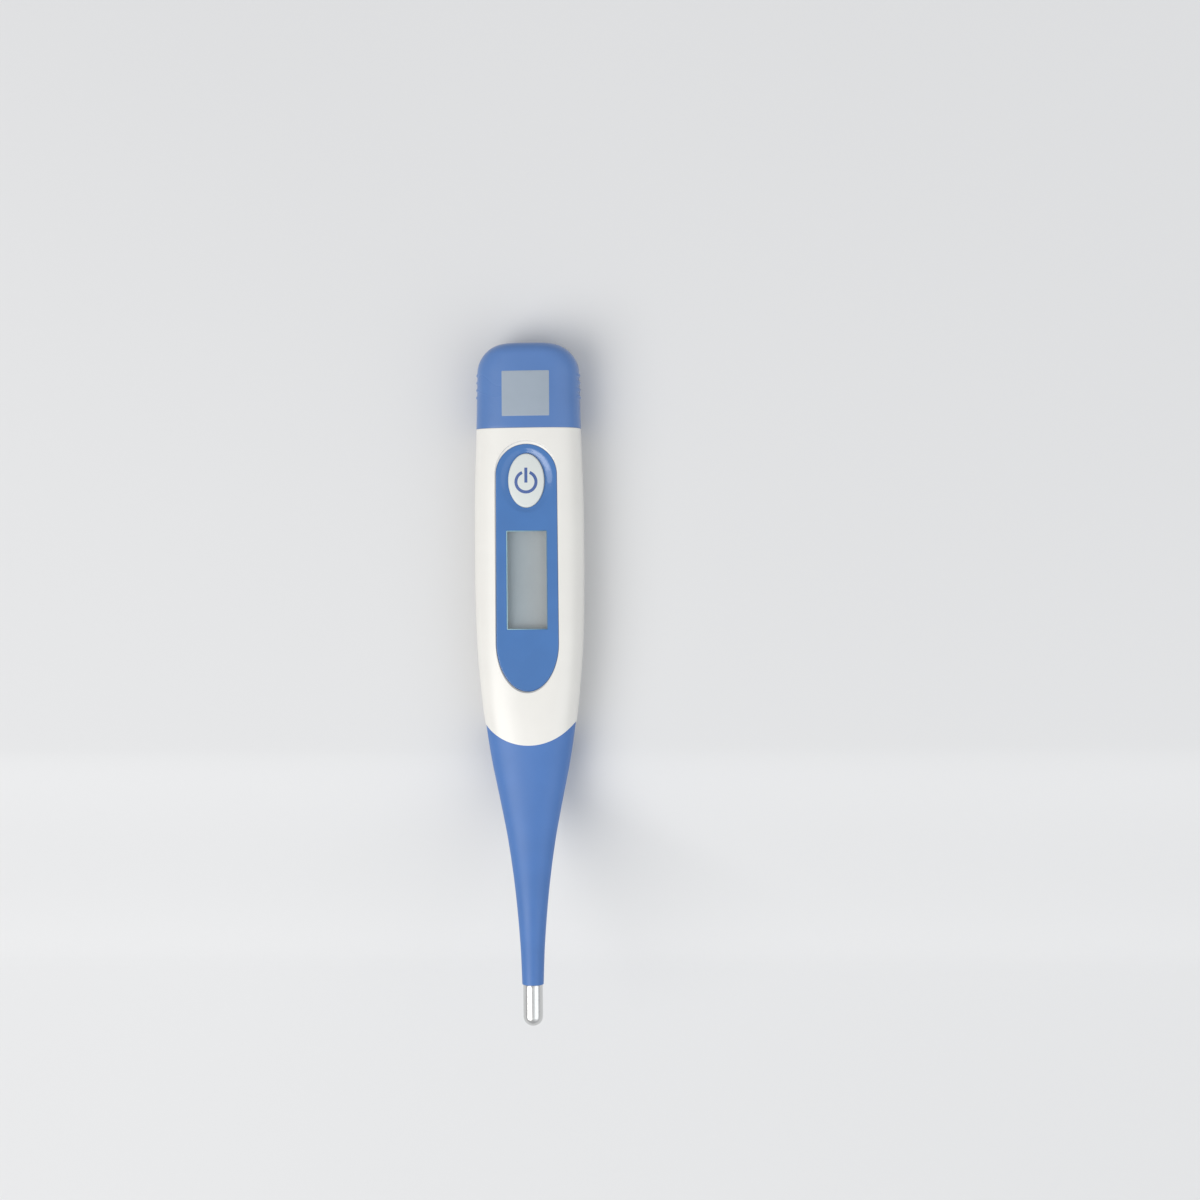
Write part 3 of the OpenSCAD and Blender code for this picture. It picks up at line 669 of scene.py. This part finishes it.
def display_panel():
    """The panel with a rounded rim, the window's hole, and the key's hole at the bottom of its dish."""
    shell = Shell()
    quarter = spread(0, PI / 2, 6)
    rows = [at(panel_outline(-UNDER_IN), PANEL_BASE), at(panel_outline(0.0), PANEL_BASE)]
    rows += [at(panel_outline(-RIM_R * (1 - math.cos(t))), PANEL_Z - RIM_R * (1 - math.sin(t)))
             for t in quarter]
    rows.append(at(panel_outline(-RIM_R - RIM_FLAT), PANEL_Z))
    rings = [shell.loops(rows)[-1]]

    def window_hole(m):
        return rounded_rectangle(WINDOW_W / 2 + m, WINDOW_L / 2 + m, HOLE_CORNER + m, WINDOW_Y)

    quarter = spread(0, PI / 2, 5)
    rows = [at(window_hole(0.0), PANEL_BASE)]
    rows += [at(window_hole(HOLE_R * (1 - math.cos(t))), PANEL_Z - HOLE_R * (1 - math.sin(t)))
             for t in quarter]
    rows.append(at(window_hole(HOLE_R + HOLE_FLAT), PANEL_Z))
    rings.append(shell.loops(rows)[-1])
    e, hw, hl = KEY_HOLE_R, KEY_HW + KEY_GAP, KEY_HL + KEY_GAP
    rows = [at(oval(hw, hl), PANEL_BASE)]
    for t in quarter:
        m = e * (1 - math.cos(t))
        rows.append(at(oval(hw + m, hl + m), PANEL_Z - DISH - e * (1 - math.sin(t))))
    for t in spread(0, 1, 12)[1:]:
        rows.append(at(oval(hw + e + (DISH_HW - hw - e) * t, hl + e + (DISH_HL - hl - e) * t),
                       PANEL_Z - DISH * (1 - t * t * (3 - 2 * t))))
    rings.append(shell.loops(rows)[-1])
    shell.fill(rings)
    return shell.build("panel_blue", M["blue_panel"], 60)


place(display_panel(), "housing", "blue_panel", "display_panel")


def display_window():
    """The clear pane, and round it the narrow edge with a painted glint."""
    hw, hl = WINDOW_W / 2 - PANE_GAP, WINDOW_L / 2 - PANE_GAP
    top, low = PANEL_Z - PANE_SUNK, PANEL_BASE - 0.1

    def outline(m):
        return rounded_rectangle(hw - m, hl - m, PANE_CORNER - m, WINDOW_Y)

    pane = Shell()
    made = pane.loops([at(outline(EDGE_W), z) for z in (low, top - EDGE_LIP, top)])
    pane.fill([made[0]])
    pane.fill([made[-1]])
    rim = Shell()
    # the rim's section: how far inside the outline, and how high
    section = [(EDGE_W, low), (0.0, low), (0.0, top - 0.06), (0.02, top - 0.02), (0.06, top), (EDGE_W, top)]
    rim.loops([at(outline(m), z) for m, z in section])
    # the rim wears the painted glint
    return pane.build("window_pane", M["clear_window"], 50), rim.build("window_edge_glint", M["window_edge_glint"], 50)


pane, pane_glint_edge = display_window()
place(pane, "housing", "clear_window", "display_window")
# the window's edge, with its painted glint, rides on the housing
place(pane_glint_edge, "housing", "clear_window")


# ---------------------------------------------------------------- power key and its symbol
KEY_EDGE = KEY_TOP - 0.27
KEY_ROUND = 0.28
# the stem under the key: radius and height, from its foot on the snap dome up
STEM = ((0.01, 5.02), (1.35, 5.02), (1.5, 5.15), (1.5, 9.3))
# the flange under the panel that keeps the key in: how far past the key, and how high
FLANGE = ((0.7, 9.3), (0.8, 9.4), (0.8, 9.7), (0.0, 9.75))
# the symbol's film: how high it stands over the key, and how deep its turned-down edges reach
FILM, FILM_EDGE = 0.012, 0.08
# the symbol: its ring's radii, half the ring's opening in degrees, and the stroke's half width and ends
RING_OUT, RING_IN, RING_GAP = 2.36, 1.74, 22
STROKE_HW, STROKE_LOW, STROKE_HIGH = 0.31, -0.15, 2.9
SYMBOL_Y = KEY_Y - 0.3


def key_height(x, y):
    """The key's gently domed top."""
    q = (x / KEY_HW) ** 2 + ((y - KEY_Y) / KEY_HL) ** 2
    return KEY_EDGE + (KEY_TOP - KEY_EDGE) * (1 - q)


def power_key():
    shell = Shell()
    turns = spread(0, 2 * PI, OVAL_N, False)
    rows = [at([(r * math.cos(a), KEY_Y + r * math.sin(a)) for a in turns], z) for r, z in STEM]
    rows += [at(oval(KEY_HW + m, KEY_HL + m), z) for m, z in FLANGE]
    r = KEY_ROUND
    for t in spread(0, PI / 2, 6):
        m = r * (1 - math.cos(t))
        ring = oval(KEY_HW - m, KEY_HL - m)
        rows.append([(x, y, key_height(x, y) - r * (1 - math.sin(t))) for x, y in ring])
    steps = 18
    for k in range(1, steps):
        share = 1 - k / steps
        rows.append([(x, y, key_height(x, y)) for x, y in oval((KEY_HW - r) * share, (KEY_HL - r) * share)])
    made = shell.loops(rows)
    shell.fan(made[-1], (0, KEY_Y, KEY_TOP))
    return shell.build("power_key", M["button_grey"], 50)


def power_symbol():
    """An open ring and a stroke, on the key's dome."""
    verts, faces = [], []

    def strip(grid):
        """A thin raised film over the key from rows of (x, y), with turned-down edges."""
        n = len(grid[0])
        start = len(verts)
        for row in grid:
            for x, y in row:
                verts.append((x, y, key_height(x, y) + FILM))
        for i in range(len(grid) - 1):
            for j in range(n - 1):
                a = start + i * n + j
                faces.append((a, a + 1, a + n + 1, a + n))
        rim = [start + j for j in range(n)] + [start + i * n + n - 1 for i in range(1, len(grid))]
        rim += [start + (len(grid) - 1) * n + j for j in range(n - 2, -1, -1)]
        rim += [start + i * n for i in range(len(grid) - 2, 0, -1)]
        under = len(verts)
        for v in rim:
            x, y, z = verts[v]
            verts.append((x, y, z - FILM_EDGE))
        for i in range(len(rim)):
            j = (i + 1) % len(rim)
            faces.append((rim[i], rim[j], under + j, under + i))

    turns = spread(math.radians(90 + RING_GAP), math.radians(450 - RING_GAP), 72)
    radii = [RING_IN + (RING_OUT - RING_IN) * share for share in spread(0, 1, 4)]
    strip([[(r * math.cos(a), SYMBOL_Y + r * math.sin(a)) for r in radii] for a in turns])
    strip([[(x, y) for x in spread(-STROKE_HW, STROKE_HW, 4)]
           for y in spread(SYMBOL_Y + STROKE_LOW, SYMBOL_Y + STROKE_HIGH, 14)])
    return piece("power_symbol", verts, faces, M["icon_blue"], 40)


place(power_key(), "button", "button_grey", "power_button")
place(power_symbol(), "button", "icon_blue", "power_icon")

DOME_Z = 4.5
DOME_PROFILE = [(0.01, 0.33), (1.6, 0.25), (3.0, 0.0), (3.0, 0.12), (1.6, 0.37), (0.8, 0.44), (0.01, 0.45)]
dome = turned("dome", DOME_PROFILE, M["spring_steel"], (0, KEY_Y, DOME_Z), sharp=50)
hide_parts("snap_dome")
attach(dome, "housing")
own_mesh(dome)


# ---------------------------------------------------------------- battery cover
AROUND = 144
MOUTH = COVER + 0.03
COVER_WALL = 2.2
# the inside of the cover: half width, half height, corner and place along Y, from closed end to mouth
CAVITY = [(7.5, 3.7, 2.2, TAIL - COVER_WALL), (7.5, 3.7, 2.2, COVER + 4.8), (8.9, 4.6, 3.3, COVER + 4.8),
          (8.9, 4.6, 3.3, MOUTH + 0.15), (9.05, 4.75, 3.4, MOUTH)]
# grip ridges on both sides: how many, the first one, their pitch, half width, height, reach up and down
RIDGES, RIDGE_Y, RIDGE_PITCH = 4, COVER + 6.5, 1.5
RIDGE_HW, RIDGE_RISE, RIDGE_REACH = 0.5, 0.2, 2.6
# only the sides beyond this half width carry them
RIDGE_X = 6
# the end face is drawn in rings that shrink by these shares
END_SHARES = (0.97, 0.8, 0.55, 0.3)


def rect_reach(phi, hw, hh, r, y):
    """The rounded rectangle's point in the direction of the skin's point at phi."""
    x0, _, z0 = surface(phi, COVER + 2)
    dx, dz = x0, z0 - AXIS

    def inside(t):
        qx, qz = abs(dx * t) - (hw - r), abs(dz * t) - (hh - r)
        return r - math.hypot(max(qx, 0), max(qz, 0)) - min(max(qx, qz), 0)

    t = solve(inside, 0.0, 3.0)
    return (dx * t, y, AXIS + dz * t)


def ridge(y, z):
    """Height of the grip ridges on the cover's sides."""
    rise = 0.0
    for k in range(RIDGES):
        u = (y - (RIDGE_Y + RIDGE_PITCH * k)) / RIDGE_HW
        if abs(u) < 1:
            rise = max(rise, math.cos(u * PI / 2) ** 2)
    fade = max(0.0, 1 - (abs(z - AXIS) / RIDGE_REACH) ** 4)
    return RIDGE_RISE * rise * fade


def battery_cover():
    """The cover, from the closed end of its cavity out round the mouth and along the skin to its tail."""
    shell = Shell()
    turns = spread(0, 2 * PI, AROUND, False)
    rows = [[rect_reach(a, hw, hh, r, y) for a in turns] for hw, hh, r, y in CAVITY]
    for s in reversed(FILLET_STEPS):
        rows.append([surface(a, MOUTH + s, sink(s)) for a in turns])
    # places along the skin, close together over the grip ridges
    ys = spread(MOUTH + 0.5, COVER + 5.4, 12)
    ys += spread(COVER + 5.5, COVER + 11.6, 61)
    ys += spread(COVER + 11.9, TAIL - EDGE_R - 0.1, 10)
    for y in ys:
        row = []
        for a in turns:
            x, _, z = surface(a, y)
            rise = ridge(y, z)
            row.append((x + math.copysign(rise, x) if abs(x) > RIDGE_X else x, y, z))
        rows.append(row)
    for t in spread(0, 90, 18):
        y = TAIL - EDGE_R * (1 - math.sin(math.radians(t)))
        rows.append([surface(a, min(y, TAIL - 1e-6)) for a in turns])
    last = rows[-1]
    for share in END_SHARES:
        rows.append([(x * share, y, AXIS + (z - AXIS) * share) for x, y, z in last])
    made = shell.loops(rows)
    shell.fan(made[-1], (0, TAIL, AXIS))
    shell.fan(made[0], (0, TAIL - COVER_WALL, AXIS))
    return shell.build("cover_blue", M["blue_cover"], 60)


LABEL_HW, LABEL_LOW, LABEL_HIGH, LABEL_R = 4.85, COVER + 2.4, COVER + 11.6, 0.18
LABEL_LIFT = 0.02
# the label's rim: how far inside its outline, and how high over the cover
LABEL_RIM = ((0.0, -0.1), (0.0, 0.01), (0.03, LABEL_LIFT))
LABEL_SHARES = (0.92, 0.8, 0.66, 0.52, 0.38, 0.24, 0.1)


def cover_label():
    """A plain pale film on the cover's crown."""
    yc, hl = (LABEL_LOW + LABEL_HIGH) / 2, (LABEL_HIGH - LABEL_LOW) / 2
    shell = Shell()

    def flat(m):
        return rounded_rectangle(LABEL_HW - m, hl - m, max(0.05, LABEL_R - m), yc, 8, 24)

    rows = [[(x, y, crown(x, y) + lift) for x, y in flat(m)] for m, lift in LABEL_RIM]
    for share in LABEL_SHARES:
        points = [(x * share, yc + (y - yc) * share) for x, y in flat(0.0)]
        rows.append([(x, y, crown(x, y) + LABEL_LIFT) for x, y in points])
    made = shell.loops(rows)
    shell.fan(made[-1], (0, yc, crown(0, yc) + LABEL_LIFT))
    return shell.build("cover_film", M["pale_label"], 60)


place(battery_cover(), "cover", "blue_cover", "battery_cover")
place(cover_label(), "cover", "pale_label", "cover_label")


# ---------------------------------------------------------------- button cell
# profiles of the can, the grommet in its mouth and the cap: radius and height over the cell's foot
CELL = (0, COVER + 6, 3.2)
CAN = [(0.01, 0.3), (5.4, 0.3), (5.5, 0.5), (5.5, 4.2), (5.05, 4.4), (5.05, 4.7), (5.5, 4.7)]
CAN += arc(5.5, 4.4, 0.3, 80, 0, 6) + [(5.8, 0.35)] + arc(5.45, 0.35, 0.35, 0, -90, 6)
CAN += [(4.6, 0.0), (4.5, 0.04), (0.01, 0.04)]
GROMMET = [(4.72, 0.35), (5.48, 0.35), (5.48, 4.18), (5.03, 4.4), (5.03, 4.62), (4.72, 4.62)]
CAP = [(0.01, 0.35), (4.68, 0.35), (4.68, 5.0)] + arc(4.3, 5.0, 0.38, 0, 90, 6)
CAP += [(3.6, 5.38), (3.5, 5.34), (0.01, 5.34)]
can = turned("cell_can", CAN, M["cell_steel"], CELL)
grommet = turned("cell_grommet", GROMMET, M["cell_seal"], CELL)
cap = turned("cell_cap", CAP, M["cell_steel"], CELL)
place(can, "cell", "cell_steel", "battery_can")
place(grommet, "cell", "cell_seal", "battery_gasket")
place(cap, "cell", "cell_steel", "battery_cap")


# ---------------------------------------------------------------- flexible neck, leads and probe tip
NECK_AROUND = 72
# how far the neck's root reaches back under the housing's edge, and how deep it turns in there
ROOT_BACK, ROOT_DEEP = 0.9, 1.2
# its first visible row, and how the rows crowd towards it
ROOT_START, ROOT_CROWD = 0.6, 0.8
# the rounded end of the neck, and the radii that close it on the steel tip
END_R, END_RADII = 0.15, (1.9, 1.65)
# the two sensor leads: how far each lies from the axis, and its radius
LEAD_SIDE, LEAD_R = 0.6, 0.25
neck_turns = spread(0, 2 * PI, NECK_AROUND, False)
bend_places = [FIRST_BEND - BEND_PITCH * k for k in range(BENDS)]
# each bend's stretch of sleeve is as long as its share of the turn: 12 degrees up and down, 8 to the sides
UP_STRETCH = BEND_PITCH * 1.2
SIDE_STRETCH = 2 * BEND_PITCH - UP_STRETCH
cuts = [bend_places[0] + UP_STRETCH / 2]
for k in range(BENDS):
    cuts.append(cuts[-1] - (UP_STRETCH if k % 2 == 0 else SIDE_STRETCH))


def neck_rows(high, low, count):
    """Rings of the sleeve between two places along it."""
    return [[surface(a, y, NECK_STEP) for a in neck_turns] for y in spread(high, low, count)]


def neck_root():
    """The sleeve from inside the housing's front edge to the first bend."""
    shell = Shell()
    edge = {a: nose_edge(a) for a in neck_turns}
    rows = [[surface(a, edge[a] + ROOT_BACK, NECK_STEP + ROOT_DEEP) for a in neck_turns],
            [surface(a, edge[a] + ROOT_BACK, NECK_STEP) for a in neck_turns]]
    for t in spread(0, 1, 36):
        t = t ** ROOT_CROWD
        rows.append([surface(a, edge[a] + ROOT_START + (cuts[0] - edge[a] - ROOT_START) * t, NECK_STEP)
                     for a in neck_turns])
    shell.loops(rows)
    return shell.build("neck_root", M["blue_neck"], 60)


def neck_end():
    """The sleeve from the last bend to its rounded end on the steel tip."""
    shell = Shell()
    rows = neck_rows(cuts[-1], NECK_END + 0.2, 12)
    for t in spread(0, 90, 5)[1:]:
        y = NECK_END + END_R * (1 - math.sin(math.radians(t)))
        drop = END_R * (1 - math.cos(math.radians(t)))
        rows.append([surface(a, y, NECK_STEP + drop) for a in neck_turns])
    for r in END_RADII:
        rows.append([(r * math.cos(a), NECK_END + 0.01, AXIS + r * math.sin(a)) for a in neck_turns])
    shell.loops(rows)
    return shell.build("neck_end", M["blue_neck"], 60)


def lead_pair(name, high, low, count):
    """Both insulated sensor leads between two places along the neck."""
    shell = Shell()
    turns = spread(0, 2 * PI, 12, False)
    for side in (-LEAD_SIDE, LEAD_SIDE):
        shell.loops([[(side + LEAD_R * math.cos(a), y, AXIS + LEAD_R * math.sin(a)) for a in turns]
                     for y in spread(high, low, count)])
    return shell.build(name, M["wire_red"])


LINKS = [f"neck_segment_{k}" for k in range(1, BENDS)]
place(neck_root(), "housing", "blue_neck", "neck_collar")
place(neck_end(), "probe", "blue_neck", "neck_tip")
place(lead_pair("leads_root", cuts[0] + 26, cuts[0], 4), "housing", "wire_red", "sensor_leads")
place(lead_pair("leads_end", cuts[-1], TIP + 2.65, 6), "probe", "wire_red")
for k in range(BENDS):
    shell = Shell()
    shell.loops(neck_rows(cuts[k], cuts[k + 1], 12))
    skin = shell.build(f"neck_skin_{k + 1}", M["blue_neck"])
    leads = lead_pair(f"leads_{k + 1}", cuts[k], cuts[k + 1], 12)
    if k < len(LINKS):
        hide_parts(LINKS[k])
    for obj in (skin, leads):
        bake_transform(obj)

CAP_R = 2.0
steel = [(1.6, NECK_END + 3.0), (1.6, NECK_END + 0.06), (1.92, NECK_END), (1.985, NECK_END - 0.04),
         (CAP_R, NECK_END - 0.12)]
steel += [(CAP_R, y) for y in spread(NECK_END - 0.5, TIP + CAP_R, 12)]
steel += [(CAP_R * math.cos(t), TIP + CAP_R - CAP_R * math.sin(t)) for t in spread(0, PI / 2, 20)[1:]]
probe_cap = turned("probe_cap", steel, M["probe_steel"], (0, 0, AXIS), "Y", 96, 40)
place(probe_cap, "probe", "probe_steel", "sensor_cap")


# ---------------------------------------------------------------- CAD nodes that stay, with their finishes
slots = {s["node"]: s["material_slot"] for s in frame["record"]["subparts"]}
for name, node in frame["nodes"].items():
    if node.hide_render:
        continue
    finish = M[slots[name]]
    if not node.material_slots:
        node.data.materials.append(finish)
    for slot in node.material_slots:
        slot.material = finish


# ---------------------------------------------------------------- floor, light and camera
def eased(t):
    """Rises smoothly from 0 to 1 as t does."""
    t = min(1.0, max(0.0, t))
    return t * t * (3 - 2 * t)


def floor():
    """A pale floor with a wide smooth hollow under the overhanging neck, so that it has room to bend down.

    In metres. The hollow has its full depth across the middle, and fades to each side and beyond the tip.
    """
    top, reach, depth = -0.0002, 30, 0.031
    start, slope_length = -0.013, 0.05
    side_start, side_length = 0.15, 0.6
    far_start, far_length = 0.25, 0.8
    middle, outer = 2, 6
    half = spread(0, side_start + side_length, 30) + [middle, outer, reach]
    across = [-x for x in reversed(half[1:])] + half
    rows = [-reach, -outer, -middle] + spread(-far_start - far_length, start - slope_length, 40)
    rows += spread(start - slope_length, start, 60)[1:] + [reach]
    verts = []
    for y in rows:
        for x in across:
            share = eased((start - y) / slope_length) * (1 - eased((abs(x) - side_start) / side_length))
            share *= 1 - eased((-y - far_start) / far_length)
            verts.append((x, y, top - depth * share))
    n = len(across)
    faces = [(i * n + j, i * n + j + 1, (i + 1) * n + j + 1, (i + 1) * n + j)
             for i in range(len(rows) - 1) for j in range(n - 1)]
    mesh = bpy.data.meshes.new("floor")
    mesh.from_pydata(verts, [], faces)
    mesh.shade_smooth()
    mat, tree, shader, coords = nodes_for("floor_pale")
    soft = noise(tree, coords, 3.0, 2.0)
    tree.links.new(ramp(tree, soft, (0.70, 0.702, 0.708), (0.72, 0.722, 0.726)), shader.inputs["Base Color"])
    shader.inputs["Roughness"].default_value = 0.7
    mesh.materials.append(mat)
    obj = bpy.data.objects.new("floor", mesh)
    bpy.context.scene.collection.objects.link(obj)


def aimed(name, data, place_at):
    """Puts a light in the scene, turned towards the origin."""
    obj = bpy.data.objects.new(name, data)
    obj.location = place_at
    obj.rotation_euler = (-Vector(place_at)).to_track_quat("-Z", "Y").to_euler()
    bpy.context.scene.collection.objects.link(obj)


def softbox(name, place_at, width, height, power, color):
    """A rectangular area light near the thermometer, in metres and watts."""
    data = bpy.data.lights.new(name, "AREA")
    data.shape, data.size, data.size_y = "RECTANGLE", width, height
    data.energy, data.color = power, color
    aimed(name, data, place_at)


def sky(name, place_at, strength, spread_deg, color):
    """An even, very soft light from one side, the same all over the floor."""
    data = bpy.data.lights.new(name, "SUN")
    data.energy, data.angle, data.color = strength, math.radians(spread_deg), color
    aimed(name, data, place_at)


floor()
softbox("key_box", (-0.38, -0.20, 0.46), 0.32, 0.46, 0.95, (1.0, 0.985, 0.965))
softbox("fill_box", (0.42, -0.18, 0.40), 0.40, 0.40, 0.45, (0.94, 0.97, 1.0))
sky("key_sky", (-0.6, -0.4, 0.9), 1.0, 50, (1.0, 0.985, 0.965))
sky("fill_sky", (0.7, -0.35, 0.8), 0.42, 70, (0.95, 0.975, 1.0))

world = bpy.data.worlds.new("studio")
world.use_nodes = True
world.node_tree.nodes["Background"].inputs[0].default_value = (0.965, 0.98, 1.0, 1)
world.node_tree.nodes["Background"].inputs[1].default_value = 0.53
bpy.context.scene.world = world
bpy.context.scene.view_settings.view_transform = "Standard"

# the photograph looks almost straight down, from a few degrees towards +X
SENSOR_W, FRAME_W = 36, 0.245
target, distance = Vector((0.0146, 0.0170, 0.008)), 0.51
lean, roll = math.radians(4.8), math.radians(-0.45)
lens = bpy.data.cameras.new("camera")
lens.sensor_width = SENSOR_W
lens.lens = SENSOR_W * distance / FRAME_W
lens.clip_start, lens.clip_end = 0.01, 100
camera = bpy.data.objects.new("camera", lens)
camera.location = target + Vector((math.sin(lean), 0, math.cos(lean))) * distance
camera.rotation_euler = (0, lean, roll)
bpy.context.scene.collection.objects.link(camera)
bpy.context.scene.camera = camera
